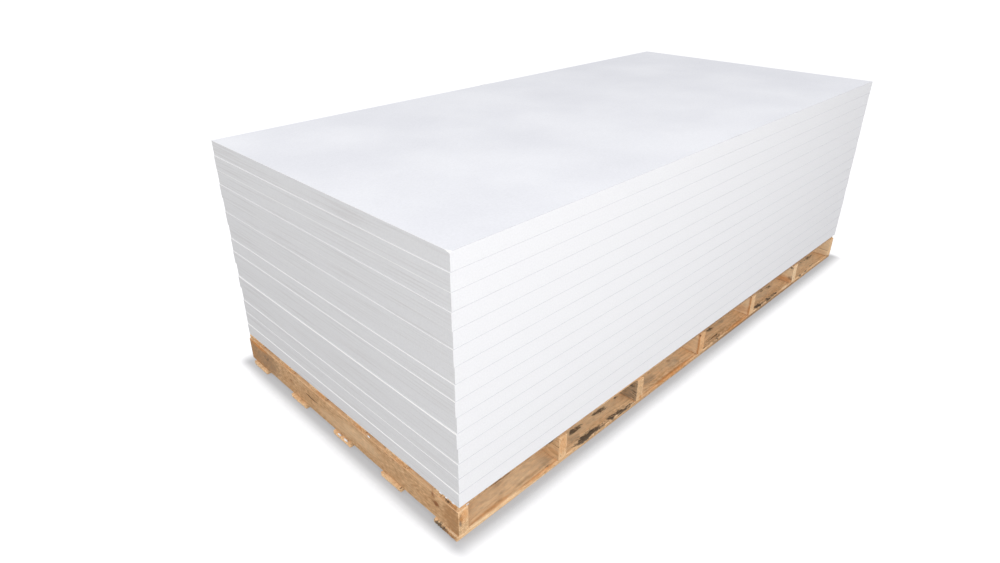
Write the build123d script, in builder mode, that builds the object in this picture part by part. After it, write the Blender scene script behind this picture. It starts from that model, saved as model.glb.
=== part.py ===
# A pallet of fire-resistant boards: fifteen thick mineral sheets on a nailed wooden stringer pallet.
# Millimetres, +Z up, X along the sheets' length. The origin is on the floor, under the middle.

import os

from build123d import *

# Sheets of board
SHEET_LENGTH = 2500
SHEET_WIDTH = 1200
SHEET_THICKNESS = 50
SHEET_ARRIS = 1

# How far the stack was set down from the pallet's middle along X
STACK_OFFSET = 7

# How far each sheet was set down from the stack's middle along X, from the bottom sheet up
SHEET_SHIFTS = [-2.0, -0.6, 0.2, 2.0, -1.2, 1.4, -1.6, -0.2, 1.6, -0.6, 0.6, -1.4, 0.2, -0.4, 1.4]

# The broken corner of the top sheet, at the end that faces -X and the side that faces -Y
CHIP_ALONG_END = 18
CHIP_ALONG_SIDE = 7
CHIP_DEPTH = 5

# Stringers, which stand on edge across the pallet
STRINGER_COUNT = 7
STRINGER_WIDTH = 38
STRINGER_HEIGHT = 90
STRINGER_EASE = 1.5

# Top deck boards, set in behind the stringers' ends on the long sides
TOP_DECK_COUNT = 6
TOP_DECK_WIDTH = 100
TOP_DECK_THICKNESS = 16
TOP_DECK_SIDE_SETBACK = 6
TOP_DECK_END_SETBACK = 2
TOP_DECK_EASE = 1.5

# How far each top deck board was nailed off its even place along Y, from the -Y side
TOP_DECK_DRIFTS = [0, 2, -5, 3, -4, 0]

# Bottom deck boards, which stand out past the end stringers and have worn ends
BOTTOM_DECK_COUNT = 5
BOTTOM_DECK_WIDTH = 98
BOTTOM_DECK_THICKNESS = 16
BOTTOM_DECK_SIDE_SETBACK = 3
BOTTOM_DECK_OVERHANG = 9
BOTTOM_DECK_CORNER = 6
BOTTOM_DECK_WEAR = 7

# How far each bottom deck board was nailed off its even place along Y, from the -Y side
BOTTOM_DECK_DRIFTS = [0, -23, -30, -30, -22]

# Levels, from the floor up
stringer_bottom = BOTTOM_DECK_THICKNESS
stringer_top = stringer_bottom + STRINGER_HEIGHT
stack_bottom = stringer_top + TOP_DECK_THICKNESS


def even_places(span, size, count):
    """Centres of pieces of one size that are spread evenly, outer faces on the ends of the span."""
    pitch = (span - size) / (count - 1)
    return [size / 2 - span / 2 + pitch * index for index in range(count)]


def write_piece(piece, name):
    """Label a finished piece and write it as its own file."""
    piece.label = name
    export_step(piece, f"parts/{name}.step")


os.makedirs("parts", exist_ok=True)

# The stack of sheets, each with its arrises knocked off
for number, shift in enumerate(SHEET_SHIFTS, start=1):
    sheet_bottom = stack_bottom + (number - 1) * SHEET_THICKNESS
    sheet_middle = STACK_OFFSET + shift
    with BuildPart() as sheet:
        with BuildSketch(Plane.XY.offset(sheet_bottom)):
            with Locations((sheet_middle, 0)):
                Rectangle(SHEET_LENGTH, SHEET_WIDTH)
        extrude(amount=SHEET_THICKNESS)
        chamfer(sheet.edges(), length=SHEET_ARRIS)
        if number == len(SHEET_SHIFTS):
            # The break runs through three points on the edges that meet at the corner
            sheet_end = sheet_middle - SHEET_LENGTH / 2
            corner = Vector(sheet_end, -SHEET_WIDTH / 2, sheet_bottom + SHEET_THICKNESS)
            end_point = corner + Vector(0, CHIP_ALONG_END, 0)
            side_point = corner + Vector(CHIP_ALONG_SIDE, 0, 0)
            low_point = corner - Vector(0, 0, CHIP_DEPTH)
            outward = (side_point - low_point).cross(end_point - low_point)
            split(bisect_by=Plane(origin=low_point, z_dir=outward), keep=Keep.BOTTOM)
    write_piece(sheet.part, f"sheet_{number:02d}")

# The stringers, sawn to the sheets' width
stringer_middle = (stringer_bottom + stringer_top) / 2
for number, x in enumerate(even_places(SHEET_LENGTH, STRINGER_WIDTH, STRINGER_COUNT), start=1):
    with BuildPart() as stringer:
        with BuildSketch(Plane.XZ):
            with Locations((x, stringer_middle)):
                RectangleRounded(STRINGER_WIDTH, STRINGER_HEIGHT, STRINGER_EASE)
        extrude(amount=SHEET_WIDTH / 2, both=True)
    write_piece(stringer.part, f"stringer_{number}")

# The top deck, which carries the sheets
top_deck_span = SHEET_WIDTH - 2 * TOP_DECK_SIDE_SETBACK
top_deck_length = SHEET_LENGTH - 2 * TOP_DECK_END_SETBACK
top_deck_places = even_places(top_deck_span, TOP_DECK_WIDTH, TOP_DECK_COUNT)
for number, (place, drift) in enumerate(zip(top_deck_places, TOP_DECK_DRIFTS), start=1):
    with BuildPart() as deck_board:
        with BuildSketch(Plane.YZ):
            with Locations((place + drift, stringer_top + TOP_DECK_THICKNESS / 2)):
                RectangleRounded(TOP_DECK_WIDTH, TOP_DECK_THICKNESS, TOP_DECK_EASE)
        extrude(amount=top_deck_length / 2, both=True)
    write_piece(deck_board.part, f"top_deck_board_{number}")

# The bottom deck, with rounded corners and ends that slope up from the floor where they are dragged
bottom_deck_span = SHEET_WIDTH - 2 * BOTTOM_DECK_SIDE_SETBACK
bottom_deck_length = SHEET_LENGTH + 2 * BOTTOM_DECK_OVERHANG
bottom_deck_places = even_places(bottom_deck_span, BOTTOM_DECK_WIDTH, BOTTOM_DECK_COUNT)
for number, (place, drift) in enumerate(zip(bottom_deck_places, BOTTOM_DECK_DRIFTS), start=1):
    with BuildPart() as deck_board:
        with BuildSketch(Plane.XY):
            with Locations((0, place + drift)):
                RectangleRounded(bottom_deck_length, BOTTOM_DECK_WIDTH, BOTTOM_DECK_CORNER)
        extrude(amount=BOTTOM_DECK_THICKNESS)
        with BuildSketch(Plane.XZ) as side_profile:
            with Locations((0, BOTTOM_DECK_THICKNESS / 2)):
                Rectangle(bottom_deck_length, BOTTOM_DECK_THICKNESS)
            chamfer(side_profile.vertices().group_by(Axis.Y)[0], length=BOTTOM_DECK_WEAR)
        extrude(amount=SHEET_WIDTH / 2, both=True, mode=Mode.INTERSECT)
    write_piece(deck_board.part, f"bottom_deck_board_{number}")
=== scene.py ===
# %% [markdown]
# # A pallet of fire-resistant boards
# The object is a stack of thick white mineral boards on a nailed wooden pallet.
# The solids come in as a fixed frame: every piece is already at its real place and size.
# This lesson dresses that frame. It keeps each board and each stick of wood as a piece of its own.
# The edges of the boards are crumbled, the wood is weathered, and both get finishes made of nodes.

# %% Load the frame
import math
import random

import bmesh
import bpy
import numpy as np
from mathutils import Matrix, Vector


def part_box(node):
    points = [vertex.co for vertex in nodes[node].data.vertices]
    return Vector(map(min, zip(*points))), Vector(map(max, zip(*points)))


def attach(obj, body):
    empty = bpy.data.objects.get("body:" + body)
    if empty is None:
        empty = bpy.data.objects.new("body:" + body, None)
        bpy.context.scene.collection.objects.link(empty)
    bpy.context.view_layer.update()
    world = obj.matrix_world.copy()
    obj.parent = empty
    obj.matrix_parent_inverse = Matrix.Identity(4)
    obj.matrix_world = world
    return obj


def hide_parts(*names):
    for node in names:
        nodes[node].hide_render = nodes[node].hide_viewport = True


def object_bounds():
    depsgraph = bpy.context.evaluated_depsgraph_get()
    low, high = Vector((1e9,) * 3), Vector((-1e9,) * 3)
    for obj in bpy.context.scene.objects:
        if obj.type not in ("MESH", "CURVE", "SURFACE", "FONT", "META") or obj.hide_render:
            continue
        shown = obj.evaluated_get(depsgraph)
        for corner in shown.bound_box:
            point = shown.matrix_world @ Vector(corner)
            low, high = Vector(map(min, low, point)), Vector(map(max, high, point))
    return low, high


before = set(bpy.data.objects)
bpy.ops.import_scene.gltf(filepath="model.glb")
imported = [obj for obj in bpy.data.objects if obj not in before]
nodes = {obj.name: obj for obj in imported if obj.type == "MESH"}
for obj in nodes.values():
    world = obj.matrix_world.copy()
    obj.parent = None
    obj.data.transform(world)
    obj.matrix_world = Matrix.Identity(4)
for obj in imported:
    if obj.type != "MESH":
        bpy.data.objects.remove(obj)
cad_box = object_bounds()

MM = 0.001
sheets = sorted(name for name in nodes if name.startswith("sheet_"))
stringers = sorted(name for name in nodes if name.startswith("stringer_"))
top_slats = sorted(name for name in nodes if name.startswith("top_deck_board_"))
bottom_slats = sorted(name for name in nodes if name.startswith("bottom_deck_board_"))
print("boards", len(sheets), "stringers", len(stringers), "slats", len(top_slats) + len(bottom_slats))

# %% [markdown]
# ## The camera
# The view is from above one corner, with a wide lens held close to the load.
# The place and the angles were found by fitting a camera to the seven corners of the stack that show.
# A wide lens matters here: it is what makes the far end of the boards shrink so fast.

# %% Camera
# The lens and its middle are in pixels of the picture, the place in metres and the angles in degrees
IMAGE_WIDTH = 1000
IMAGE_HEIGHT = 563
SENSOR_WIDTH = 36
FOCAL_PIXELS = 663.1
PRINCIPAL_X = 497.6
PRINCIPAL_Y = 265.9
CAMERA_PLACE = (-2.0602, -1.5852, 1.4830)
CAMERA_HEADING = 45.70
CAMERA_TILT_DOWN = 26.82
CAMERA_ROLL = -0.30

camera_data = bpy.data.cameras.new("corner_view")
camera_data.sensor_fit = "HORIZONTAL"
camera_data.sensor_width = SENSOR_WIDTH
camera_data.lens = FOCAL_PIXELS / IMAGE_WIDTH * SENSOR_WIDTH
camera_data.shift_x = (IMAGE_WIDTH / 2 - PRINCIPAL_X) / IMAGE_WIDTH
camera_data.shift_y = (PRINCIPAL_Y - IMAGE_HEIGHT / 2) / IMAGE_WIDTH
camera = bpy.data.objects.new("corner_view", camera_data)
bpy.context.scene.collection.objects.link(camera)
turn = Matrix.Rotation(math.radians(CAMERA_HEADING - 90), 4, "Z")
tilt = Matrix.Rotation(math.radians(90 - CAMERA_TILT_DOWN), 4, "X")
roll = Matrix.Rotation(math.radians(CAMERA_ROLL), 4, "Z")
camera.matrix_world = Matrix.Translation(CAMERA_PLACE) @ turn @ tilt @ roll
bpy.context.scene.camera = camera
print("lens", round(camera_data.lens, 2), "mm")

# %% [markdown]
# ## Helpers for finishes
# Colours are written as the hex values a painter would read off a screen.
# A shader works with linear light, so one function turns the hex value into linear numbers.
# Another adds a node, sets it and links it, so that each finish reads as a list of steps.

# %% Colour and node helpers
def linear(hex_colour):
    """A screen colour such as "c89a6c" as linear red, green, blue and alpha."""
    parts = [int(hex_colour[i:i + 2], 16) / 255 for i in (0, 2, 4)]
    return [p / 12.92 if p <= 0.04045 else ((p + 0.055) / 1.055) ** 2.4 for p in parts] + [1.0]


def add(tree, kind, inputs, **settings):
    """A new node with its settings made, and each input given a value or linked to a socket."""
    made = tree.nodes.new(kind)
    for name, value in settings.items():
        setattr(made, name, value)
    for name, value in inputs.items():
        if isinstance(value, bpy.types.NodeSocket):
            tree.links.new(value, made.inputs[name])
        else:
            made.inputs[name].default_value = value
    return made


def new_material(name):
    """An empty node material, ready for a finish."""
    material = bpy.data.materials.new(name)
    material.use_nodes = True
    material.node_tree.nodes.clear()
    return material, material.node_tree


# %% [markdown]
# ## Floor and light
# The light is a plain studio: an even pale sky, a soft lamp in front of the long side, a stronger one off
# the near corner, and one behind the short end that also brushes over the top. The long side faces two of
# them, so it is the brightest, and the short end is in soft shade.
# The floor shows white to the camera, with a tight painted shadow where the pallet stands close to it: it
# gives off less white where an occlusion test finds the load near. That painted shadow would be lost at the
# corners, where only a quarter of the sky is hidden, so a second painted shadow makes the floor darker the
# closer it lies to the foot of the load. A faint grey diffuse part under the white keeps the real shadow of
# the lamps.
# For every other ray it is a pale grey, which throws some light up at the load.

# %% Floor and sky
FLOOR_SIZE = 60
FLOOR_DROP = 0.5 * MM
SHADOW_REACH = 250 * MM
SHADOW_SAMPLES = 16
# How open the space above the floor is where the painted shadow is darkest, and where it ends
OPEN_DARKEST = 0.5
OPEN_ENDS = 0.66
# How far the painted shadow round the foot of the load reaches
FOOT_SHADOW_REACH_ENDS = 50 * MM
FOOT_SHADOW_REACH_SIDES = 72 * MM
# How much white the floor gives off for the camera, less where its shadow is painted: under the load, at its
# foot, and on the open floor
LIFT_UNDER = 0.36
LIFT_AT_FOOT = 0.42
LIFT_OPEN = 0.95
SKY_STRENGTH = 0.78
BACKDROP_STRENGTH = 1.0

bpy.ops.object.select_all(action="DESELECT")
bpy.ops.mesh.primitive_plane_add(size=FLOOR_SIZE, location=(0, 0, -FLOOR_DROP))
floor = bpy.context.object
floor.name = "floor"
floor_material, tree = new_material("white_studio_floor")
path = add(tree, "ShaderNodeLightPath", {})
bounce = add(tree, "ShaderNodeBsdfDiffuse", {"Color": linear("c4c4c4")})
shown = add(tree, "ShaderNodeBsdfDiffuse", {"Color": linear("707074")})
# Painted shadow for the camera: an occlusion test and the distance from the foot of the load lower the white
# the floor gives off
openness = add(tree, "ShaderNodeAmbientOcclusion", {"Distance": SHADOW_REACH}, samples=SHADOW_SAMPLES)
painted_contact_shadow = add(tree, "ShaderNodeMapRange",
               {"Value": openness.outputs["AO"], "From Min": OPEN_DARKEST, "From Max": OPEN_ENDS,
                "To Min": LIFT_UNDER, "To Max": LIFT_OPEN})
place = add(tree, "ShaderNodeTexCoord", {}).outputs["Object"]
from_middle = add(tree, "ShaderNodeVectorMath", {0: place}, operation="ABSOLUTE")
past_foot = add(tree, "ShaderNodeVectorMath",
                {0: from_middle.outputs[0], 1: cad_box[1]}, operation="SUBTRACT")
past_foot = add(tree, "ShaderNodeVectorMath", {0: past_foot.outputs[0], 1: (0, 0, 0)}, operation="MAXIMUM")
past_foot = add(tree, "ShaderNodeVectorMath",
                {0: past_foot.outputs[0], 1: (FOOT_SHADOW_REACH_ENDS, FOOT_SHADOW_REACH_SIDES, 1)}, operation="DIVIDE")
distance = add(tree, "ShaderNodeVectorMath", {0: past_foot.outputs[0]}, operation="LENGTH")
painted_foot_shadow = add(tree, "ShaderNodeMapRange",
               {"Value": distance.outputs["Value"], "To Min": LIFT_AT_FOOT, "To Max": LIFT_OPEN},
               interpolation_type="SMOOTHSTEP")
strength = add(tree, "ShaderNodeMath",
               {0: painted_contact_shadow.outputs[0], 1: painted_foot_shadow.outputs[0]}, operation="MINIMUM")
lift = add(tree, "ShaderNodeEmission", {"Color": linear("ffffff"), "Strength": strength.outputs[0]})
white = add(tree, "ShaderNodeAddShader", {0: shown.outputs[0], 1: lift.outputs[0]})
mix = add(tree, "ShaderNodeMixShader",
          {0: path.outputs["Is Camera Ray"], 1: bounce.outputs[0], 2: white.outputs[0]})
add(tree, "ShaderNodeOutputMaterial", {"Surface": mix.outputs[0]})
floor.data.materials.append(floor_material)

world = bpy.data.worlds.new("pale_studio")
bpy.context.scene.world = world
world.use_nodes = True
tree = world.node_tree
tree.nodes.clear()
path = add(tree, "ShaderNodeLightPath", {})
seen = add(tree, "ShaderNodeMath",
           {0: path.outputs["Is Camera Ray"], 1: path.outputs["Is Glossy Ray"]}, operation="MAXIMUM")
seen = add(tree, "ShaderNodeMath",
           {0: seen.outputs[0], 1: path.outputs["Is Transmission Ray"]}, operation="MAXIMUM")
sky = add(tree, "ShaderNodeBackground", {"Color": linear("fcfcff"), "Strength": SKY_STRENGTH})
backdrop = add(tree, "ShaderNodeBackground", {"Color": linear("ffffff"), "Strength": BACKDROP_STRENGTH})
mix = add(tree, "ShaderNodeMixShader", {0: seen.outputs[0], 1: sky.outputs[0], 2: backdrop.outputs[0]})
add(tree, "ShaderNodeOutputWorld", {"Surface": mix.outputs[0]})
bpy.context.scene.view_settings.view_transform = "Standard"
print("floor", FLOOR_SIZE, "m across")

# %% Lamps
def soft_lamp(name, place, target, width, height, watts):
    """A rectangular lamp at a place, turned to face a target."""
    data = bpy.data.lights.new(name, "AREA")
    data.shape = "RECTANGLE"
    data.size = width
    data.size_y = height
    data.energy = watts
    lamp = bpy.data.objects.new(name, data)
    bpy.context.scene.collection.objects.link(lamp)
    aim = Vector(target) - Vector(place)
    lamp.matrix_world = Matrix.Translation(place) @ aim.to_track_quat("-Z", "Y").to_matrix().to_4x4()


soft_lamp("side_lamp", place=(-0.5, -3.0, 1.9), target=(-0.3, -0.6, 0.4), width=3.2, height=1.2, watts=22)
soft_lamp("corner_lamp", place=(-3.2, -3.2, 2.0), target=(-0.8, -0.6, 0.3), width=2.0, height=1.2, watts=38)
soft_lamp("end_lamp", place=(-3.4, 1.8, 2.4), target=(-1.0, 0.2, 0.6), width=2.0, height=1.4, watts=20)

# %% [markdown]
# ## Finish: calcium silicate board
# The boards are pressed from lime, silica and cellulose, then sanded, and they are sawn to size.
# The eye sees a dry, chalky white with almost no shine: faint clouds on the sanded faces, greyer sawn ends
# with streaks along the cut, and where an edge has broken away and leans upwards, near white on the short
# ends and grey along the sides.
# Which of these a point is follows from its normal: flat, upright, or leaning in between.

# %% Calcium silicate board
CLOUD_SIZE = 420 * MM
SPECK_SIZE = 5 * MM
STREAK_LENGTH = 320 * MM
STREAK_HEIGHT = 5 * MM
# An end, a wide face or a broken edge is known by the share of its normal along the board or upwards.
# It starts to show at the first value and is complete at the second.
ON_END = (0.3, 0.6)
ON_FACE = (0.94, 0.98)
ON_BREAK = (0.12, 0.3)
# Most of a noise lies between these two values
NOISE_LOW = 0.3
NOISE_HIGH = 0.7


def calcium_silicate():
    """A dry white board, with a colour for each way its surface can face."""
    material, tree = new_material("calcium_silicate_board")
    place = add(tree, "ShaderNodeTexCoord", {}).outputs["Object"]
    normal = add(tree, "ShaderNodeNewGeometry", {}).outputs["Normal"]
    toward = add(tree, "ShaderNodeSeparateXYZ", {0: normal}).outputs

    # Sanded faces
    clouds = add(tree, "ShaderNodeTexNoise", {"Vector": place, "Scale": 1 / CLOUD_SIZE, "Detail": 3.0})
    cloud = add(tree, "ShaderNodeMapRange", {"Value": clouds.outputs[0], "From Min": 0.35, "From Max": 0.65})
    face = add(tree, "ShaderNodeMix",
               {0: cloud.outputs[0], 6: linear("eeeff3"), 7: linear("f6f7fa")}, data_type="RGBA")

    # Sawn edges, which are greyer and more streaked on the short ends
    endward = add(tree, "ShaderNodeMath", {0: toward[0]}, operation="ABSOLUTE")
    on_end = add(tree, "ShaderNodeMapRange",
                 {"Value": endward.outputs[0], "From Min": ON_END[0], "From Max": ON_END[1]}).outputs[0]
    stretched = add(tree, "ShaderNodeMapping",
                    {"Vector": place, "Scale": (1 / STREAK_LENGTH, 1 / STREAK_LENGTH, 1 / STREAK_HEIGHT)})
    streaks = add(tree, "ShaderNodeTexNoise", {"Vector": stretched.outputs[0], "Scale": 1.0, "Detail": 4.0})
    streak = add(tree, "ShaderNodeMapRange", {"Value": streaks.outputs[0], "From Min": 0.5, "From Max": 0.8})
    streak = add(tree, "ShaderNodeMath", {0: streak.outputs[0], 1: on_end}, operation="MULTIPLY")
    end = add(tree, "ShaderNodeMix",
              {0: streak.outputs[0], 6: linear("dddddd"), 7: linear("cfcdcc")}, data_type="RGBA")
    edge = add(tree, "ShaderNodeMix", {0: on_end, 6: linear("efeff0"), 7: end.outputs[2]}, data_type="RGBA")
    upward = add(tree, "ShaderNodeMath", {0: toward[2]}, operation="ABSOLUTE")
    flat = add(tree, "ShaderNodeMapRange",
               {"Value": upward.outputs[0], "From Min": ON_FACE[0], "From Max": ON_FACE[1]}).outputs[0]
    colour = add(tree, "ShaderNodeMix", {0: flat, 6: edge.outputs[2], 7: face.outputs[2]}, data_type="RGBA")

    # Broken edges that lean upwards are coloured near white on the short ends and grey along the sides
    broken = add(tree, "ShaderNodeMix",
                 {0: on_end, 6: linear("d2d2d6"), 7: linear("fcfbf8")}, data_type="RGBA")
    leaning = add(tree, "ShaderNodeMapRange",
                  {"Value": toward[2], "From Min": ON_BREAK[0], "From Max": ON_BREAK[1]})
    leaning = add(tree, "ShaderNodeMath",
                  {0: leaning.outputs[0], 1: flat}, operation="SUBTRACT", use_clamp=True)
    colour = add(tree, "ShaderNodeMix",
                 {0: leaning.outputs[0], 6: colour.outputs[2], 7: broken.outputs[2]}, data_type="RGBA")

    # A fine chalky grain over all of it
    specks = add(tree, "ShaderNodeTexNoise", {"Vector": place, "Scale": 1 / SPECK_SIZE, "Detail": 2.0})
    speck = add(tree, "ShaderNodeMapRange",
                {"Value": specks.outputs[0], "From Min": NOISE_LOW, "From Max": NOISE_HIGH,
                 "To Min": 0.97, "To Max": 1.02})
    colour = add(tree, "ShaderNodeVectorMath",
                 {0: colour.outputs[2], "Scale": speck.outputs[0]}, operation="SCALE")
    bump = add(tree, "ShaderNodeBump",
               {"Height": specks.outputs[0], "Strength": 0.25, "Distance": 0.4 * MM})
    surface = add(tree, "ShaderNodeBsdfPrincipled",
                  {"Base Color": colour.outputs[0], "Roughness": 0.92, "IOR": 1.45, "Specular IOR Level": 0.2,
                   "Normal": bump.outputs[0]})
    add(tree, "ShaderNodeOutputMaterial", {"Surface": surface.outputs[0]})
    return material


board_finish = calcium_silicate()
print("finish", board_finish.name, len(board_finish.node_tree.nodes), "nodes")

# %% [markdown]
# ## Finish: sawn pine
# The pallet is cheap pine, sawn and left rough. The eye sees growth rings as streaks along each stick
# and as arcs on its sawn ends, thin dark cracks, a few knots, and black mould where it stayed wet.
# Each stick stores where it lay in its log, as a vector called log: first along the trunk, then
# two distances from the pith. Rings are then simply the distance from the pith.
# Two more vectors say how the wood has aged at each point: age holds brown stain, grey weathering and mould,
# and tint holds resin, pale dust and knots. The pale dust is partly real dust and partly painted light, where
# it brightens wood in the shade of the load. Each of these is a layer of colour over the clean wood.
# Noise breaks the edge of each layer, a little for a knot and a lot for mould.

# %% Growth rings and fibres
RING_WIDTH = 8 * MM
RING_SHARPNESS = 2.2
RING_STRENGTH = 0.36
FIBRE_LENGTH = 70 * MM
FIBRE_WIDTH = 2.5 * MM
CRACK_LENGTH = 320 * MM
CRACK_WIDTH = 9 * MM
WOBBLE_LENGTH = 350 * MM
WOBBLE_WIDTH = 1000 / 6 * MM
WOBBLE_SIZE = 45 * MM
KNOT_SWELL = 22 * MM
BLOTCH_LENGTH = 125 * MM
BLOTCH_WIDTH = 50 * MM
PATCH_LENGTH = 15 * MM
PATCH_WIDTH = 6 * MM
MOTTLE_LENGTH = 22 * MM
MOTTLE_WIDTH = 9 * MM
# How hard noise breaks up the edge of a layer, and the amount of the layer from which it does so in full
BREAK_UP = 2.4
BREAK_UP_FROM = 0.25


def long_noise(tree, place, length, width, detail):
    """Noise that is drawn out along the grain, from 0 to 1."""
    stretched = add(tree, "ShaderNodeMapping",
                    {"Vector": place, "Scale": (1 / length, 1 / width, 1 / width)})
    return add(tree, "ShaderNodeTexNoise", {"Vector": stretched.outputs[0], "Scale": 1.0, "Detail": detail})


def bent_grain(tree, log):
    """The place in the log, moved about a little, because no trunk is quite straight."""
    wobble = long_noise(tree, log, WOBBLE_LENGTH, WOBBLE_WIDTH, 2.0).outputs["Color"]
    shift = add(tree, "ShaderNodeVectorMath", {0: wobble, 1: (0.5, 0.5, 0.5)}, operation="SUBTRACT")
    shift = add(tree, "ShaderNodeVectorMath", {0: shift.outputs[0], "Scale": WOBBLE_SIZE}, operation="SCALE")
    return add(tree, "ShaderNodeVectorMath", {0: log, 1: shift.outputs[0]}).outputs[0]


def late_wood(tree, bent, knot):
    """How dark the ring is at each point: it darkens slowly from the inside, then starts again."""
    across = add(tree, "ShaderNodeVectorMath", {0: bent, 1: (0, 1, 1)}, operation="MULTIPLY")
    radius = add(tree, "ShaderNodeVectorMath", {0: across.outputs[0]}, operation="LENGTH")
    radius = add(tree, "ShaderNodeMath",
                 {0: knot, 1: KNOT_SWELL, 2: radius.outputs["Value"]}, operation="MULTIPLY_ADD")
    ring = add(tree, "ShaderNodeMath", {0: radius.outputs[0], 1: RING_WIDTH}, operation="DIVIDE")
    ring = add(tree, "ShaderNodeMath", {0: ring.outputs[0]}, operation="FRACT")
    return add(tree, "ShaderNodeMath", {0: ring.outputs[0], 1: RING_SHARPNESS}, operation="POWER").outputs[0]


# %% Sawn pine
def sawn_pine():
    """Rough pine, with its rings, its fibres and all that a stick stores about its age."""
    material, tree = new_material("sawn_pine")
    log, age, tint = [add(tree, "ShaderNodeAttribute", {}, attribute_name=name).outputs["Vector"]
                      for name in ("log", "age", "tint")]
    stain, grey, mould = add(tree, "ShaderNodeSeparateXYZ", {0: age}).outputs
    resin, dust_and_light, knot = add(tree, "ShaderNodeSeparateXYZ", {0: tint}).outputs
    bent = bent_grain(tree, log)
    late = late_wood(tree, bent, knot)
    fibres = long_noise(tree, bent, FIBRE_LENGTH, FIBRE_WIDTH, 3.0).outputs[0]
    blotches = long_noise(tree, log, BLOTCH_LENGTH, BLOTCH_WIDTH, 4.0).outputs[0]
    patches = long_noise(tree, log, PATCH_LENGTH, PATCH_WIDTH, 6.0).outputs[0]
    mottle = long_noise(tree, log, MOTTLE_LENGTH, MOTTLE_WIDTH, 3.0).outputs[0]
    cracks = long_noise(tree, bent, CRACK_LENGTH, CRACK_WIDTH, 1.0).outputs[0]

    # Clean wood: pale early wood, darker late wood, and fibres over both
    early = add(tree, "ShaderNodeMix",
                {0: blotches, 6: linear("f0c08c"), 7: linear("ffe2b8")}, data_type="RGBA")
    ringed = add(tree, "ShaderNodeMath", {0: late, 1: RING_STRENGTH}, operation="MULTIPLY")
    wood = add(tree, "ShaderNodeMix",
               {0: ringed.outputs[0], 6: early.outputs[2], 7: linear("c98d50")}, data_type="RGBA")
    grain = add(tree, "ShaderNodeMapRange",
                {"Value": fibres, "From Min": NOISE_LOW, "From Max": NOISE_HIGH,
                 "To Min": 0.86, "To Max": 1.06})
    wood = add(tree, "ShaderNodeVectorMath",
               {0: wood.outputs[2], "Scale": grain.outputs[0]}, operation="SCALE")

    # What time has done to it, with the pale layer that is partly painted light, from the deepest layer to
    # the one on top: how rough the edge of a patch is, how much of the wood it hides, and its colour
    layers = [(stain, 0.42, 0.85, "a4764a"), (grey, 0.4, 0.8, "8f8272"), (dust_and_light, 0.3, 0.85, "ffe3bc"),
              (resin, 0.3, 0.8, "d08a48"), (knot, 0.25, 0.85, "8a5632"), (mould, 0.6, 0.85, "463e35")]
    swing = add(tree, "ShaderNodeMath", {0: patches, 1: 0.5}, operation="SUBTRACT")
    colour = wood.outputs[0]
    for amount, roughness, strength, hue in layers:
        present = add(tree, "ShaderNodeMapRange",
                      {"Value": amount, "From Max": BREAK_UP_FROM, "To Max": BREAK_UP * roughness})
        noisy = add(tree, "ShaderNodeMath",
                    {0: swing.outputs[0], 1: present.outputs[0], 2: amount}, operation="MULTIPLY_ADD")
        shown = add(tree, "ShaderNodeMapRange",
                    {"Value": noisy.outputs[0], "From Min": 0.5 * roughness, "From Max": 1 - 0.5 * roughness,
                     "To Max": strength})
        layer = add(tree, "ShaderNodeMix",
                    {0: shown.outputs[0], 6: colour, 7: linear(hue)}, data_type="RGBA")
        colour = layer.outputs[2]

    # Uneven tone and thin cracks over all of it
    spotted = add(tree, "ShaderNodeMapRange",
                  {"Value": mottle, "From Min": NOISE_LOW, "From Max": NOISE_HIGH,
                   "To Min": 0.86, "To Max": 1.08})
    colour = add(tree, "ShaderNodeVectorMath",
                 {0: colour, "Scale": spotted.outputs[0]}, operation="SCALE").outputs[0]
    crack = add(tree, "ShaderNodeMapRange", {"Value": cracks, "From Min": 0.72, "From Max": 0.78})
    cracked = add(tree, "ShaderNodeMix",
                  {0: crack.outputs[0], 6: colour, 7: linear("6a4a2e")}, data_type="RGBA")
    height = add(tree, "ShaderNodeMath", {0: fibres, 1: late})
    height = add(tree, "ShaderNodeMath", {0: height.outputs[0], 1: crack.outputs[0]}, operation="SUBTRACT")
    bump = add(tree, "ShaderNodeBump", {"Height": height.outputs[0], "Strength": 0.5, "Distance": 0.7 * MM})
    surface = add(tree, "ShaderNodeBsdfPrincipled",
                  {"Base Color": cracked.outputs[2], "Roughness": 0.82, "Specular IOR Level": 0.25,
                   "Normal": bump.outputs[0]})
    add(tree, "ShaderNodeOutputMaterial", {"Surface": surface.outputs[0]})
    return material


pine = sawn_pine()
print("finish", pine.name, len(pine.node_tree.nodes), "nodes")

# %% [markdown]
# ## Working in edit mode from code
# By hand, one would click on edges. In code, edges and points are chosen by where they are.
# The blank of each piece is a cube stretched to size, cut evenly along its three directions by
# subdividing the edges that run that way, which is what a loop cut does.
# Edges are broken with a bevel modifier that reads a weight on each edge, so that one pass can give
# a sharp arris here and a worn one there.

# %% Edit mode helpers
PARALLEL = 0.999


def add_block(name, size):
    """A cube of that size, centred on the origin, left in object mode."""
    bpy.ops.object.select_all(action="DESELECT")
    bpy.ops.mesh.primitive_cube_add(size=1)
    block = bpy.context.object
    block.name = name
    bpy.ops.object.mode_set(mode="EDIT")
    bpy.ops.mesh.select_all(action="SELECT")
    bpy.ops.transform.resize(value=size)
    bpy.ops.object.mode_set(mode="OBJECT")
    return block


def pick(piece):
    """Make a piece the only selected one, and the active one."""
    bpy.ops.object.select_all(action="DESELECT")
    piece.select_set(True)
    bpy.context.view_layer.objects.active = piece


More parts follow.
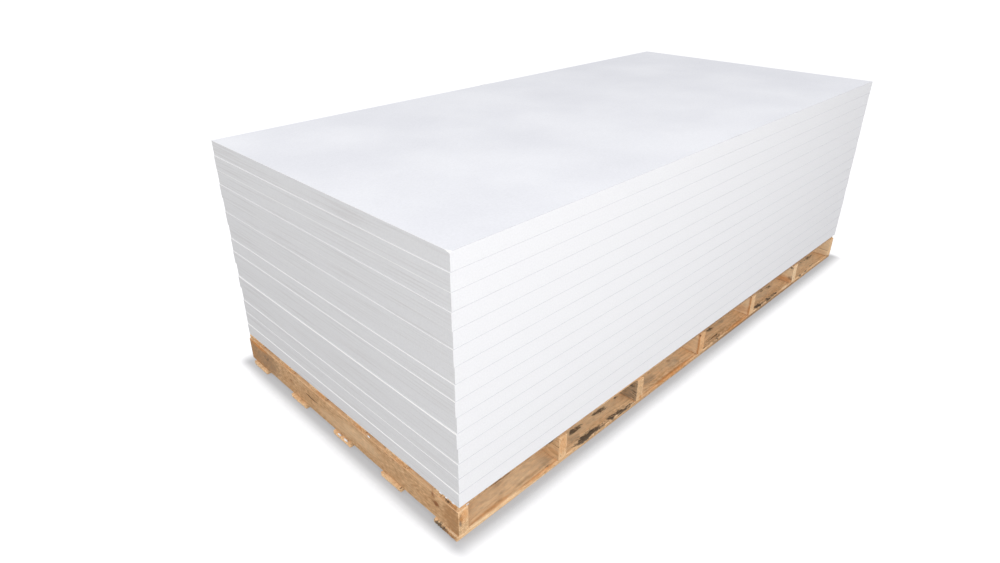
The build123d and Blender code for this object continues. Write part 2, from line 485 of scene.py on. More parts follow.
def select(piece, kind, test):
    """Select the vertices, edges or faces of a piece in edit mode that pass a test."""
    bpy.ops.mesh.select_mode(type={"verts": "VERT", "edges": "EDGE", "faces": "FACE"}[kind])
    bpy.ops.mesh.select_all(action="DESELECT")
    shape = bmesh.from_edit_mesh(piece.data)
    for element in getattr(shape, kind):
        if test(element):
            element.select_set(True)
    shape.select_flush_mode()
    bmesh.update_edit_mesh(piece.data)


def runs_along(edge, axis):
    """Whether an edge is parallel to an axis, by its number."""
    direction = edge.verts[1].co - edge.verts[0].co
    return abs(direction[axis]) > PARALLEL * direction.length


def cut_along(piece, axis, count, test=lambda edge: True):
    """Cut the edges that run along an axis into that many lengths, like loop cuts."""
    select(piece, "edges", lambda edge: runs_along(edge, axis) and test(edge))
    bpy.ops.mesh.subdivide(number_cuts=count - 1)


# %% Helpers for points and edges
ARRIS_SEGMENTS = 2
# An edge this close to a side of the box lies on it
ON_SIDE = 0.1 * MM


def points_of(piece):
    """The points of a piece as rows of x, y and z."""
    points = np.empty(len(piece.data.vertices) * 3, np.float32)
    piece.data.vertices.foreach_get("co", points)
    return points.reshape(-1, 3).astype(float)


def break_edges(piece, widths):
    """Bevel each edge of a piece by its own width."""
    widest = max(widths)
    weights = piece.data.attributes.new("bevel_weight_edge", "FLOAT", "EDGE")
    weights.data.foreach_set("value", np.asarray(widths, np.float32) / widest)
    pick(piece)
    bevel = piece.modifiers.new("broken_edges", "BEVEL")
    bevel.limit_method = "WEIGHT"
    bevel.use_clamp_overlap = False
    bevel.width = widest
    bevel.segments = ARRIS_SEGMENTS
    bpy.ops.object.modifier_apply(modifier=bevel.name)
    spent = piece.data.attributes.get("bevel_weight_edge")
    if spent:
        piece.data.attributes.remove(spent)


def copy_to(blank, name, node):
    """A copy of a blank with a mesh of its own, placed on the middle of a node."""
    low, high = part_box(node)
    piece = blank.copy()
    piece.data = blank.data.copy()
    piece.name = name
    piece.data.name = name
    piece.data.transform(Matrix.Translation((low + high) / 2))
    bpy.context.scene.collection.objects.link(piece)
    return piece


def keep_in_box(piece, node):
    """Bring any point that strayed outside a node's box back onto its face."""
    low, high = (np.array(corner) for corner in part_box(node))
    points = np.clip(points_of(piece), low, high)
    piece.data.vertices.foreach_set("co", points.astype(np.float32).ravel())
    piece.data.update()


def edge_places(piece):
    """The middle of each edge of a piece, and which of the six sides of its box it lies on."""
    ends = np.empty(len(piece.data.edges) * 2, np.int32)
    piece.data.edges.foreach_get("vertices", ends)
    points = points_of(piece)
    middles = points[ends.reshape(-1, 2)].mean(1)
    low_gap = middles - points.min(0)
    high_gap = points.max(0) - middles
    sides = {"left": low_gap[:, 0] < ON_SIDE, "right": high_gap[:, 0] < ON_SIDE,
             "front": low_gap[:, 1] < ON_SIDE, "back": high_gap[:, 1] < ON_SIDE,
             "under": low_gap[:, 2] < ON_SIDE, "top": high_gap[:, 2] < ON_SIDE}
    return middles, sides


# %% [markdown]
# ## The boards
# A real board has sharp sawn edges that crumble a little when it is handled. Where the top edge of a board
# has crumbled, the break faces upwards. At the short ends it is coloured near white and shows as a bright
# line. Along the sides it is coloured grey and shows as a grey one.
# The rim of the blank is cut into short lengths, and every length gets its own bevel width, from
# a slow wave along the edge with a few deeper chips.
# The wide faces are inset first, so that only the rim carries the extra points.

# %% Board blank
RIM = 14 * MM
RIM_REACH = 1.1 * RIM
CRUMB_LENGTH = 9 * MM
# A face whose normal points up or down this much is one of the two wide ones
WIDE_FACE = 0.9

low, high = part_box(sheets[0])
board_size = high - low
half = board_size / 2
board_blank = add_block("board_blank", board_size)
bpy.ops.object.mode_set(mode="EDIT")
select(board_blank, "faces", lambda face: abs(face.normal.z) > WIDE_FACE)
bpy.ops.mesh.inset(thickness=RIM, use_individual=True)


def on_rim(edge):
    """Whether an edge lies on the outline of a wide face or on the line where the rim ends."""
    place = (edge.verts[0].co + edge.verts[1].co) / 2
    return abs(place.x) > half.x - RIM_REACH or abs(place.y) > half.y - RIM_REACH


cut_along(board_blank, 0, round(board_size.x / CRUMB_LENGTH), on_rim)
cut_along(board_blank, 1, round(board_size.y / CRUMB_LENGTH), on_rim)
bpy.ops.object.mode_set(mode="OBJECT")
print("board blank", len(board_blank.data.polygons), "faces")

# %% Fifteen boards
# How much of the top edge has crumbled at the near short end, in mm, from the bottom board up
END_CRUMBLE = [3.5, 1.5, 2.9, 0.2, 4.0, 0.2, 2.3, 2.5, 2.4, 1.4, 2.0, 1.4, 1.4, 1.6, 0.5]
# What the same edge may have lost at the far end, in mm
FAR_END_CRUMBLE = [0.4, 0.8, 1.4, 2.0]
# The lower a board lies, the more it carries and the more its edges along the sides have crumbled
SIDE_ARRIS = 1.9 * MM
SIDE_ARRIS_STEP = 0.085 * MM
TOP_BOARD_ARRIS = 0.5 * MM
UNDER_ARRIS = 0.5 * MM
CORNER_ARRIS = 1.0 * MM
# The wave along an edge: the lengths of its parts in metres, and the share of the width that it moves
WAVE_LENGTHS = (0.31, 0.083, 0.047)
WAVE_SHARE = 0.06
FULL_TURN = 6.3
# The deeper chips, and how wide they are, in mm
CHIPS_PER_BOARD = 9
CHIP_WIDTHS = (1.4, 2.4)
BOARD_SEED = 100


def crumbled_widths(board, side_arris, end_crumble, rng):
    """A bevel width for each edge of a board, in metres. Edges inside a face get none."""
    middles, side = edge_places(board)
    upright = side["left"] | side["right"] | side["front"] | side["back"]
    widths = np.zeros(len(middles))
    widths[side["top"] & upright] = side_arris
    widths[side["under"] & upright] = UNDER_ARRIS
    widths[side["top"] & side["left"]] = end_crumble * MM
    widths[side["top"] & side["right"]] = rng.choice(FAR_END_CRUMBLE) * MM
    corner = (side["left"] | side["right"]) & (side["front"] | side["back"])
    widths[corner & ~side["top"] & ~side["under"]] = CORNER_ARRIS
    along = middles[:, 0] + middles[:, 1]
    wave = sum(np.sin(along * 2 * math.pi / length + rng.uniform(0, FULL_TURN))
               for length in WAVE_LENGTHS)
    widths *= 1 + WAVE_SHARE * wave
    arrises = np.flatnonzero((side["top"] | side["under"]) & upright)
    for chip in rng.sample(list(arrises), CHIPS_PER_BOARD):
        widths[chip] = max(widths[chip], rng.uniform(*CHIP_WIDTHS) * MM)
    return np.maximum(widths, 0)


boards = []
for number, node in enumerate(sheets):
    rng = random.Random(BOARD_SEED + number)
    board = copy_to(board_blank, f"board_{number + 1:02d}", node)
    side_arris = TOP_BOARD_ARRIS if node == sheets[-1] else SIDE_ARRIS - number * SIDE_ARRIS_STEP
    break_edges(board, crumbled_widths(board, side_arris, END_CRUMBLE[number], rng))
    keep_in_box(board, node)
    board.data.materials.clear()
    board.data.materials.append(board_finish)
    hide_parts(node)
    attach(board, "root")
    boards.append(board)
bpy.data.objects.remove(board_blank)
print("boards", len(boards))

# %% [markdown]
# The top board has lost a flake from its near corner. Three points, one along each edge that meets
# there, lay down the plane of the break. A bisect cuts the corner off along it, and the hole is filled.

# %% Broken corner of the top board
FLAKE_ALONG_END = 18 * MM
FLAKE_ALONG_SIDE = 7 * MM
FLAKE_DEPTH = 5 * MM
WELD = 0.02 * MM
low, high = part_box(sheets[-1])
corner = Vector((low.x, low.y, high.z))
end_point = corner + Vector((0, FLAKE_ALONG_END, 0))
side_point = corner + Vector((FLAKE_ALONG_SIDE, 0, 0))
low_point = corner - Vector((0, 0, FLAKE_DEPTH))
outward = (side_point - end_point).cross(low_point - end_point).normalized()
if outward.z < 0:
    outward.negate()
pick(boards[-1])
bpy.ops.object.mode_set(mode="EDIT")
bpy.ops.mesh.select_all(action="SELECT")
bpy.ops.mesh.bisect(plane_co=end_point, plane_no=outward, clear_outer=True)
bpy.ops.mesh.select_all(action="SELECT")
bpy.ops.mesh.remove_doubles(threshold=WELD)
bpy.ops.mesh.fill_holes(sides=0)
bpy.ops.object.mode_set(mode="OBJECT")
print("broken corner", boards[-1].name, len(boards[-1].data.polygons), "faces")

# %% [markdown]
# ## The pallet's wood
# Every stick is sawn from a log, so each gets its own place in one: an offset from the pith and
# a turn. The blank has its arrises broken, is cut evenly, and its sawn surface is made uneven with
# a displace modifier that only pushes inwards, so the stick never grows.
# Marks are given one by one: a kind, a place, how far it reaches each way, how strong.

# %% Wood helpers
MARK_KINDS = ["stain", "grey", "mould", "resin", "dust_and_light", "knot"]
# A mark keeps its strength to 0.6 of its reach, and is gone at this much of it
MARK_FADE = 1.6
# How close to the end of a stick a point of its sawn face lies, and how far in the wood is shaken
END_FACE = 2 * MM
END_REACH = 4 * MM
# How many points of the face break in, and how far all are shaken, as a share of the depth of the break
BROKEN_SHARE = 0.4
SHAKE_SHARE = 0.6
UNEVEN_SIZE = 45 * MM
uneven = bpy.data.textures.new("uneven_saw_cut", "CLOUDS")
uneven.noise_scale = UNEVEN_SIZE


def stick_blank(name, node, counts, widths):
    """A stick of a node's size, on the origin, with broken edges, cut into so many lengths each way."""
    low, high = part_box(node)
    blank = add_block(name, high - low)
    middles, side = edge_places(blank)
    width = np.full(len(middles), widths["plain"])
    for where, value in widths.items():
        if where != "plain":
            first, second = where.split()
            width[side[first] & side[second]] = value
    break_edges(blank, width * MM)
    bpy.ops.object.mode_set(mode="EDIT")
    for axis, count in enumerate(counts):
        cut_along(blank, axis, count)
    bpy.ops.object.mode_set(mode="OBJECT")
    return blank


def saw_unevenly(piece, depth):
    """Push a stick's surface in by up to a depth, more in some places than in others."""
    pick(piece)
    push = piece.modifiers.new("uneven", "DISPLACE")
    push.texture = uneven
    push.texture_coords = "LOCAL"
    push.mid_level = 1.0
    push.strength = depth
    bpy.ops.object.modifier_apply(modifier=push.name)


def splinter_ends(piece, axis, depth, seed):
    """Break the sawn ends of a stick a little, so that they don't look planed."""
    points = points_of(piece)
    low, high = points.min(0)[axis], points.max(0)[axis]
    pick(piece)
    bpy.ops.object.mode_set(mode="EDIT")
    for end, inward in ((low, depth), (high, -depth)):
        chance = random.Random(seed)
        select(piece, "verts",
               lambda vert: abs(vert.co[axis] - end) < END_FACE and chance.random() < BROKEN_SHARE)
        bpy.ops.transform.translate(value=[inward if a == axis else 0 for a in range(3)])
        select(piece, "verts", lambda vert: abs(vert.co[axis] - end) < END_REACH)
        bpy.ops.transform.vertex_random(offset=depth * SHAKE_SHARE, seed=seed)
    bpy.ops.object.mode_set(mode="OBJECT")


def store_vectors(piece, name, values):
    """Store one vector for each point of a piece, for its finish to read."""
    attribute = piece.data.attributes.new(name, "FLOAT_VECTOR", "POINT")
    attribute.data.foreach_set("vector", np.asarray(values, np.float32).ravel())


def place_in_log(piece, along, pith, turn_degrees, start):
    """Store where each point of a stick lay in its log, from the stick's own middle."""
    points = points_of(piece)
    middle = (points.min(0) + points.max(0)) / 2
    side = 1 - along
    p = points[:, side] - middle[side]
    q = points[:, 2] - middle[2]
    angle = math.radians(turn_degrees)
    turned_p = p * math.cos(angle) - q * math.sin(angle) + pith[0] * MM
    turned_q = p * math.sin(angle) + q * math.cos(angle) + pith[1] * MM
    store_vectors(piece, "log", np.stack([points[:, along] + start, turned_p, turned_q], axis=1))


def store_marks(piece, everywhere, marks):
    """Store how each point has aged: even amounts, and marks in mm from the near lower corner."""
    points = points_of(piece)
    points = (points - points.min(0)) / MM
    amounts = {kind: np.full(len(points), everywhere.get(kind, 0.0)) for kind in MARK_KINDS}
    for kind, place, reach, strength in marks:
        distance = np.linalg.norm((points - place) / reach, axis=1)
        amounts[kind] = np.maximum(amounts[kind], strength * np.clip(MARK_FADE - distance, 0, 1))
    store_vectors(piece, "age", np.stack([amounts[kind] for kind in MARK_KINDS[:3]], axis=1))
    store_vectors(piece, "tint", np.stack([amounts[kind] for kind in MARK_KINDS[3:]], axis=1))


def finish_stick(piece, node):
    """Give a stick its finish and put it in the place of its node."""
    keep_in_box(piece, node)
    piece.data.materials.clear()
    piece.data.materials.append(pine)
    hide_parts(node)
    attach(piece, "root")


# %% [markdown]
# ## Stringers
# Seven sticks stand on edge across the pallet. The near end one shows its whole side, brown from
# handling, with a red knot by the corner. The others show a slice of their side and one sawn end.
# The third has stood in the weather and is grey. The fourth and fifth were cut beside the bark and have a
# thin line of resin along one corner. From the fourth on, the sides seen in the openings are paler: dust
# there is painted light, which brightens sides that lie in the shade under the load.
# Each mark's place is in from the side that faces the near short end, along from the near end of the
# stick, and up from its lower edge. A skin is the short reach of a mark that stays on one face.

# %% Stringers
SKIN = 1.0
STRINGER_MARKS = {
    1: [("stain", (0, 600, 45), (SKIN, 900, 90), 0.6), ("stain", (0, 1120, 45), (SKIN, 170, 70), 0.8),
        ("grey", (0, 1080, 45), (SKIN, 110, 50), 0.4), ("stain", (0, 10, 45), (SKIN, 70, 70), 0.8),
        ("knot", (0, 94, 56), (6, 13, 9), 1.0), ("knot", (0, 107, 81), (6, 8, 8), 0.8),
        ("knot", (0, 896, 49), (6, 9, 13), 0.5), ("knot", (0, 367, 78), (6, 10, 7), 0.55),
        ("mould", (0, 1068, 54), (SKIN, 22, 10), 0.45), ("resin", (0, 1130, 86), (SKIN, 60, 10), 0.9),
        ("dust_and_light", (0, 472, 52), (SKIN, 120, 25), 0.35), ("dust_and_light", (0, 620, 30), (SKIN, 120, 20), 0.3),
        # Along the top of this stringer, dust and resin are painted light that brightens the strip in the
        # shade under the boards, and the pale line on the top edge of its end is a painted highlight
        ("dust_and_light", (6, 600, 90), (12, 900, 3), 0.4), ("resin", (8, 600, 90), (14, 900, 3), 0.4),
        ("dust_and_light", (19, 0, 90), (25, 3, 2), 0.8),
        ("resin", (22, 0, 66), (16, SKIN, 24), 0.6), ("stain", (19, 0, 22), (26, SKIN, 26), 0.42),
        ("stain", (9, 0, 54), (6, SKIN, 20), 0.9), ("grey", (8, 0, 46), (4, SKIN, 12), 0.75),
        ("grey", (10, 0, 74), (4, SKIN, 6), 0.7)],
    2: [("resin", (20, 0, 54), (18, SKIN, 40), 0.55)],
    3: [("grey", (0, 40, 45), (SKIN, 120, 70), 0.65), ("mould", (0, 35, 70), (SKIN, 30, 16), 0.55),
        ("mould", (0, 12, 20), (SKIN, 10, 30), 0.5), ("mould", (0, 55, 44), (SKIN, 10, 24), 0.45),
        ("resin", (27, 0, 8), (6, SKIN, 7), 1.0), ("stain", (19, 0, 45), (30, SKIN, 60), 0.38)],
    # From the fourth stringer on, the wide dust on the side is painted light: it brightens the side in the
    # shade inside its opening
    4: [("resin", (0, 3, 45), (SKIN, 5, 90), 1.0), ("knot", (2, 0, 86), (4, 5, 5), 0.9),
        ("resin", (19, 0, 45), (30, SKIN, 60), 0.5), ("dust_and_light", (0, 60, 45), (SKIN, 200, 90), 0.6)],
    5: [("resin", (0, 3, 45), (SKIN, 5, 90), 1.0), ("resin", (0, 40, 24), (SKIN, 60, 18), 0.4),
        ("dust_and_light", (0, 60, 45), (SKIN, 200, 90), 0.8), ("resin", (19, 0, 45), (30, SKIN, 60), 0.25)],
    6: [("mould", (0, 12, 76), (SKIN, 10, 9), 0.6), ("mould", (0, 5, 30), (SKIN, 6, 22), 0.55),
        ("knot", (0, 10, 24), (5, 7, 7), 0.8), ("resin", (0, 35, 12), (SKIN, 50, 14), 0.7),
        ("dust_and_light", (0, 60, 45), (SKIN, 200, 90), 0.85), ("dust_and_light", (19, 0, 45), (30, SKIN, 60), 0.5)],
    7: [("dust_and_light", (0, 60, 45), (SKIN, 200, 90), 1.0)],
}
# Where the middle of each stringer lay, as two distances from the pith in mm
PITHS = [(38, -70), (70, 20), (-45, 60), (60, -55), (85, 30), (-30, -65), (75, 50)]
STRINGER_CUTS = (8, 200, 20)
STRINGER_ARRIS = {"plain": 1.6}
STRINGER_UNEVEN = 1.6 * MM
STRINGER_SPLINTERS = 0.6 * MM
# How many degrees a stringer may be turned in its log, and how many metres further on the next one lay
STRINGER_TURN = 12
STRINGER_LOG_STEP = 1.7
LOG_SEED = 11
rng = random.Random(LOG_SEED)
stringer_blank = stick_blank("stringer_blank", stringers[0], STRINGER_CUTS, STRINGER_ARRIS)
for number, node in enumerate(stringers):
    stringer = copy_to(stringer_blank, f"pallet_stringer_{number + 1}", node)
    turned = rng.uniform(-STRINGER_TURN, STRINGER_TURN)
    place_in_log(stringer, 1, PITHS[number], turned, number * STRINGER_LOG_STEP)
    store_marks(stringer, {}, STRINGER_MARKS[number + 1])
    saw_unevenly(stringer, STRINGER_UNEVEN)
    splinter_ends(stringer, 1, STRINGER_SPLINTERS, number)
    finish_stick(stringer, node)
bpy.data.objects.remove(stringer_blank)
print("stringers", len(stringers))

# %% [markdown]
# ## Top slats
# Six thin slats carry the boards. Only their outer edge and their sawn ends show, and those are brown.
# The one at the near corner has lost a splinter from its end, which left a hollow, made dark with painted
# shade.

# %% Top slats
SLAT_END = [("stain", (0, 50, 8), (SKIN, 90, 20), 0.5), ("resin", (0, 30, 10), (SKIN, 30, 8), 0.6)]
NEAR_SLAT_MARKS = [
    # The mould in the splinter's hollow is painted shade
    ("mould", (3, 42, 8), (10, 20, 6), 0.9), ("stain", (0, 15, 8), (SKIN, 20, 10), 0.8),
    ("stain", (1250, 0, 8), (1600, SKIN, 20), 0.4), ("stain", (250, 0, 8), (250, SKIN, 12), 0.7),
    ("stain", (1700, 0, 8), (800, SKIN, 20), 0.8), ("grey", (1700, 0, 8), (800, SKIN, 20), 0.4),
    ("mould", (158, 0, 2), (60, SKIN, 5), 0.5), ("mould", (378, 0, 4), (40, SKIN, 8), 0.6),
    ("stain", (490, 0, 8), (120, SKIN, 12), 0.7)]
TOP_SLAT_CUTS = (220, 14, 4)
TOP_SLAT_ARRIS = {"plain": 1.2, "left top": 2.0, "right top": 2.0}
TOP_SLAT_SPLINTERS = 1.4 * MM
TOP_SLAT_SEED = 20
TOP_SLAT_LOG_START = 20
TOP_SLAT_LOG_STEP = 3.1
SLAT_UNEVEN = 1.2 * MM
# Slats are sawn beside the pith and lie nearly flat in the log: how far off in mm, and the turn in degrees
SLAT_PITH_ASIDE = 20
SLAT_PITH_BELOW = (50, 90)
SLAT_TURN = 15
# The hollow in the near slat: how deep it is, and which points of the end go in, from its near lower corner
SPLINTER_DEPTH = 8 * MM
SPLINTER_REACH = 4 * MM
SPLINTER_ACROSS = (24 * MM, 60 * MM)
SPLINTER_UP = (3 * MM, 13 * MM)


def lay_slat_in_log(slat, start):
    """Store a place in a log for a slat, picked by chance."""
    pith = (rng.uniform(-SLAT_PITH_ASIDE, SLAT_PITH_ASIDE), rng.uniform(*SLAT_PITH_BELOW))
    place_in_log(slat, 0, pith, rng.uniform(-SLAT_TURN, SLAT_TURN), start)


def in_splinter(vert):
    """Whether a point of the near slat lies where the splinter came off."""
    return (vert.co.x < low.x + SPLINTER_REACH
            and SPLINTER_ACROSS[0] < vert.co.y - low.y < SPLINTER_ACROSS[1]
            and SPLINTER_UP[0] < vert.co.z - low.z < SPLINTER_UP[1])


slat_blank = stick_blank("top_slat_blank", top_slats[0], TOP_SLAT_CUTS, TOP_SLAT_ARRIS)
for number, node in enumerate(top_slats):
    slat = copy_to(slat_blank, f"pallet_top_slat_{number + 1}", node)
    lay_slat_in_log(slat, TOP_SLAT_LOG_START + number * TOP_SLAT_LOG_STEP)
    store_marks(slat, {"resin": 0.1}, SLAT_END + (NEAR_SLAT_MARKS if number == 0 else []))
    saw_unevenly(slat, SLAT_UNEVEN)
    splinter_ends(slat, 0, TOP_SLAT_SPLINTERS, TOP_SLAT_SEED + number)
    if number == 0:
        low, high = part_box(node)
        pick(slat)
        bpy.ops.object.mode_set(mode="EDIT")
        select(slat, "verts", in_splinter)
        bpy.ops.transform.translate(value=(SPLINTER_DEPTH, 0, 0))
        bpy.ops.object.mode_set(mode="OBJECT")
    finish_stick(slat, node)
bpy.data.objects.remove(slat_blank)
print("top slats", len(top_slats))

# %% [markdown]
# ## Bottom slats
# Five slats lie on the floor. The outer one can be seen through every opening between the stringers, so its
# marks are placed one by one: resin along the outer edge, black mould in the second and fifth openings, grey
# patches, and pale dust further in. The wide pale dust further in is painted light: it brightens the part of
# the slat that lies in the shade under the load. Each mark has a kind, a place along the slat from the near
# end and in from the outer edge, how far it reaches along and across, and how strong it is.

# %% Marks on the outer bottom slat
OUTER_MARKS = [
    # In every opening, the wide dust well in from the outer edge is painted light: it brightens wood in the
    # shade under the load
    # first opening: light wood with resin streaks and a knot, and grey wood by the second stringer
    ("resin", 140, 9, 75, 6, 0.6), ("resin", 340, 3, 80, 5, 0.7), ("stain", 310, 18, 60, 6, 0.65),
    ("stain", 204, 32, 5, 4, 1.0), ("knot", 188, 15, 7, 5, 0.8), ("stain", 217, 62, 25, 6, 0.9),
    ("resin", 392, 60, 9, 7, 0.9), ("grey", 387, 31, 32, 20, 0.6), ("mould", 380, 9, 18, 3, 0.6),
    ("dust_and_light", 140, 40, 90, 20, 0.6), ("dust_and_light", 250, 56, 190, 38, 0.65),
    # second opening: mould along the outer edge, and patches further in
    ("mould", 519, 6, 16, 7, 0.7), ("mould", 560, 9, 26, 10, 0.95), ("mould", 604, 10, 15, 10, 0.8),
    ("mould", 634, 9, 12, 8, 0.8), ("mould", 662, 7, 14, 7, 0.7), ("mould", 704, 9, 22, 9, 0.8),
    ("mould", 747, 7, 24, 8, 0.85), ("mould", 793, 4, 26, 5, 0.7), ("mould", 567, 56, 30, 8, 0.85),
    ("mould", 674, 61, 12, 5, 0.75), ("mould", 709, 57, 20, 8, 0.85), ("mould", 806, 63, 12, 4, 0.7),
    ("grey", 534, 33, 30, 18, 0.5), ("stain", 652, 14, 180, 18, 0.3), ("dust_and_light", 652, 62, 190, 28, 0.55),
    # third opening: a brown band at the outer edge, and grey clouds further in
    ("stain", 1062, 14, 190, 18, 0.3), ("resin", 1072, 4, 150, 8, 0.8), ("stain", 1132, 57, 14, 6, 0.9),
    ("grey", 967, 42, 40, 15, 0.6), ("grey", 1132, 40, 40, 16, 0.55), ("dust_and_light", 1123, 34, 24, 10, 0.6),
    ("dust_and_light", 1062, 62, 190, 28, 0.4),
    # fourth opening: dark patches in its near half
    ("stain", 1472, 14, 190, 18, 0.45), ("mould", 1440, 59, 24, 8, 0.7), ("mould", 1420, 16, 20, 9, 0.55),
    ("mould", 1392, 5, 18, 5, 0.6), ("stain", 1514, 31, 6, 5, 1.0), ("grey", 1522, 58, 30, 8, 0.6),
    ("resin", 1572, 4, 90, 7, 0.75), ("dust_and_light", 1472, 62, 190, 28, 0.35),
    # fifth opening: mould again, and a pale rubbed patch
    ("stain", 1882, 14, 190, 18, 0.4), ("mould", 1764, 10, 34, 9, 0.8), ("mould", 1848, 7, 26, 7, 0.75),
    ("mould", 1914, 8, 26, 6, 0.7), ("mould", 1896, 63, 26, 7, 0.55), ("mould", 1956, 57, 26, 7, 0.6),
    ("grey", 1862, 40, 60, 15, 0.4), ("dust_and_light", 2007, 5, 20, 6, 0.9), ("dust_and_light", 1882, 62, 190, 28, 0.65),
    # sixth opening: a dark streak further in, and two dark spots at the outer edge
    ("stain", 2292, 14, 190, 18, 0.2), ("mould", 2388, 57, 42, 7, 0.6), ("mould", 2319, 61, 30, 5, 0.5),
    ("mould", 2173, 4, 18, 5, 0.6), ("mould", 2233, 4, 18, 5, 0.6), ("dust_and_light", 2292, 58, 190, 32, 0.6),
]
# Each of these marks lies on the slat's upper face, and this is its reach downwards, in mm
MARK_DEPTH = 9
HALO_REACH = 1.4
HALO_STRENGTH = 0.5
low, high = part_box(bottom_slats[0])
slat_top = (high.z - low.z) / MM
outer_marks = [(kind, (along, inward, slat_top), (length, depth, MARK_DEPTH), strength)
               for kind, along, inward, length, depth, strength in OUTER_MARKS]
# Mould sits in a wider patch of grey wood
outer_marks += [("grey", place, [HALO_REACH * length for length in reach], HALO_STRENGTH * strength)
                for kind, place, reach, strength in outer_marks if kind == "mould"]
# The outer edge itself gets browner and greyer away from the near corner
outer_marks += [("stain", (900, 0, 6), (500, SKIN, 12), 0.55),
                ("stain", (1750, 0, 6), (500, SKIN, 12), 0.85),
                ("grey", (1650, 0, 6), (500, SKIN, 12), 0.4),
                ("stain", (2350, 0, 6), (300, SKIN, 12), 0.65)]
# The near end has black mould by its inner corner
outer_marks += [("mould", (2, 68, 9), (7, 28, 10), 0.8), ("stain", (2, 30, 9), (7, 40, 10), 0.8),
                ("dust_and_light", (8, 22, 16), (3, 22, 2), 0.8)]
print("marks on the outer bottom slat", len(outer_marks))

# %% Bottom slats
WORN = {"plain": 1.2, "left under": 7.0, "right under": 7.0,
        "left front": 6.0, "left back": 6.0, "right front": 6.0, "right back": 6.0}
OUTER_WORN = WORN | {"front top": 5.0, "left top": 6.0}
OUTER_CUTS = (420, 24, 3)
INNER_CUTS = (200, 14, 3)
BOTTOM_SLAT_SPLINTERS = 1.6 * MM
BOTTOM_SLAT_SEED = 40
BOTTOM_SLAT_LOG_START = 50
BOTTOM_SLAT_LOG_STEP = 3.3
outer_blank = stick_blank("outer_slat_blank", bottom_slats[0], OUTER_CUTS, OUTER_WORN)
inner_blank = stick_blank("inner_slat_blank", bottom_slats[1], INNER_CUTS, WORN)
for number, node in enumerate(bottom_slats):
    slat = copy_to(outer_blank if number == 0 else inner_blank, f"pallet_bottom_slat_{number + 1}", node)
    lay_slat_in_log(slat, BOTTOM_SLAT_LOG_START + number * BOTTOM_SLAT_LOG_STEP)
    store_marks(slat, {}, outer_marks if number == 0 else [])
    saw_unevenly(slat, SLAT_UNEVEN)
    splinter_ends(slat, 0, BOTTOM_SLAT_SPLINTERS, BOTTOM_SLAT_SEED + number)
    finish_stick(slat, node)
bpy.data.objects.remove(outer_blank)
bpy.data.objects.remove(inner_blank)
print("bottom slats", len(bottom_slats))

# %% [markdown]
# ## Nail heads
# Two nails hold each bottom slat to each stringer. Their flat heads are driven flush with the underside,
# which is uneven, so they stand a little proud of the wood here and there. The heads of the nails in
# the top slats are under the boards, where nothing shows. One head is modelled, then copied and joined.

# %% Nail heads
HEAD_WIDTH = 8 * MM
HEAD_THICKNESS = 1.5 * MM
HEAD_ARRIS = 0.4 * MM
HEAD_SIDES = 16
# Where the two nails are across a slat, and how far off they may be, in mm
NAIL_SHARES = (0.27, 0.73)
NAIL_DRIFT_ACROSS = 6
NAIL_DRIFT_ALONG = 7
NAIL_SEED = 31


def join_as(pieces, name):
    """Join pieces into one mesh and name it."""
    pick(pieces[0])
    for piece in pieces:
        piece.select_set(True)
    bpy.ops.object.join()
    joined = bpy.context.object
    joined.name = name
    joined.data.name = name
    return joined


nail_steel, tree = new_material("galvanised_steel")
# A dull grey glint, rough enough to blur what it mirrors
surface = add(tree, "ShaderNodeBsdfPrincipled",
              {"Base Color": linear("b2b3b3"), "Metallic": 1.0, "Roughness": 0.5})
add(tree, "ShaderNodeOutputMaterial", {"Surface": surface.outputs[0]})

bpy.ops.object.select_all(action="DESELECT")
bpy.ops.mesh.primitive_cylinder_add(vertices=HEAD_SIDES, radius=HEAD_WIDTH / 2, depth=HEAD_THICKNESS,
                                    location=(0, 0, 0))
head = bpy.context.object
arris = head.modifiers.new("arris", "BEVEL")
arris.width = HEAD_ARRIS
arris.segments = 1
bpy.ops.object.modifier_apply(modifier=arris.name)

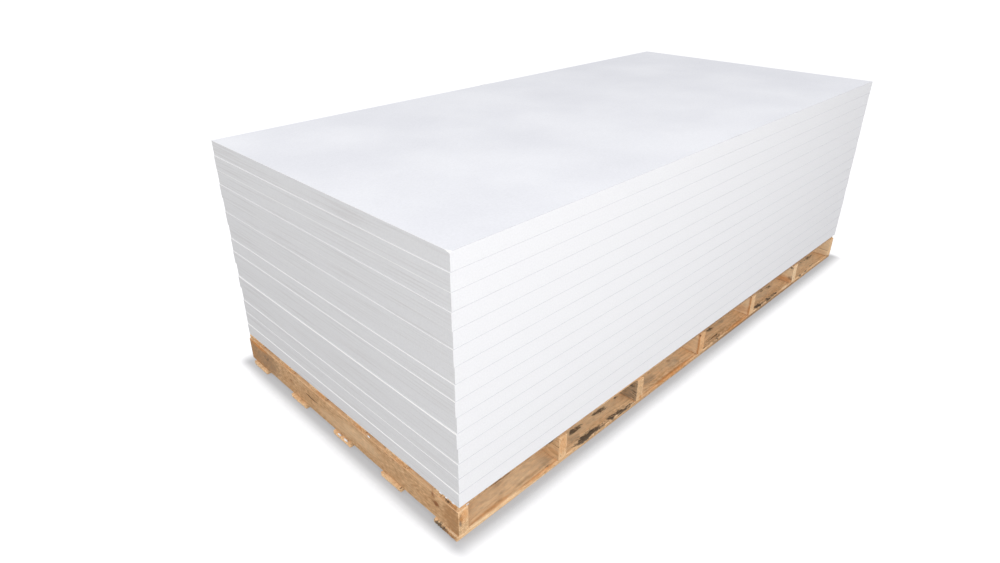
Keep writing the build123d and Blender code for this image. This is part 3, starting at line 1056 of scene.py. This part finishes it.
rng = random.Random(NAIL_SEED)
heads = []
for slat_node in bottom_slats:
    slat_low, slat_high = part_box(slat_node)
    for stringer_node in stringers:
        low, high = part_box(stringer_node)
        for share in NAIL_SHARES:
            nail = head.copy()
            nail.data = head.data.copy()
            across = slat_low.y + share * (slat_high.y - slat_low.y)
            across += rng.uniform(-NAIL_DRIFT_ACROSS, NAIL_DRIFT_ACROSS) * MM
            along = (low.x + high.x) / 2 + rng.uniform(-NAIL_DRIFT_ALONG, NAIL_DRIFT_ALONG) * MM
            nail.data.transform(Matrix.Translation((along, across, slat_low.z + HEAD_THICKNESS / 2)))
            bpy.context.scene.collection.objects.link(nail)
            heads.append(nail)
bpy.data.objects.remove(head)
nail_heads = join_as(heads, "nail_heads")
nail_heads.data.materials.append(nail_steel)
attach(nail_heads, "root")
print("nail heads", len(heads), "in", len(nail_heads.data.polygons), "faces")

# %% [markdown]
# ## Crumbs
# Flakes of board have fallen on the ledges of the pallet at the near end. Each is a coarse ball,
# flattened and shaken out of shape. They are one mesh, because they are one kind of small thing.

# %% Crumbs of board
# Where each crumb lies on the pallet, and how long, deep and thick it is, in mm
CRUMBS = [
    ((-1211, -594, 107), (12, 5, 3)), ((-1245, -576, 123), (5, 12, 3)), ((-1246, -548, 123), (4, 9, 3)),
    ((-1246, -525, 123), (4, 14, 3)), ((-1246, -184, 107), (4, 16, 4)), ((-1255, -18, 18), (6, 18, 5)),
    ((-1255, -55, 18), (6, 24, 5)),
]
CRUMB_SHAKE = 0.12
bpy.ops.object.select_all(action="DESELECT")
flakes = []
for number, (place, size) in enumerate(CRUMBS):
    bpy.ops.mesh.primitive_ico_sphere_add(subdivisions=2, radius=0.5, location=(0, 0, 0))
    flakes.append(bpy.context.object)
    bpy.ops.object.mode_set(mode="EDIT")
    bpy.ops.mesh.select_all(action="SELECT")
    bpy.ops.transform.vertex_random(offset=CRUMB_SHAKE, seed=number)
    bpy.ops.transform.resize(value=[length * MM for length in size], center_override=(0, 0, 0))
    bpy.ops.transform.translate(value=[coordinate * MM for coordinate in place])
    bpy.ops.object.mode_set(mode="OBJECT")
crumbs = join_as(flakes, "board_crumbs")
crumbs.data.materials.append(board_finish)
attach(crumbs, "root")
print("crumbs", len(CRUMBS), "in", len(crumbs.data.polygons), "faces")
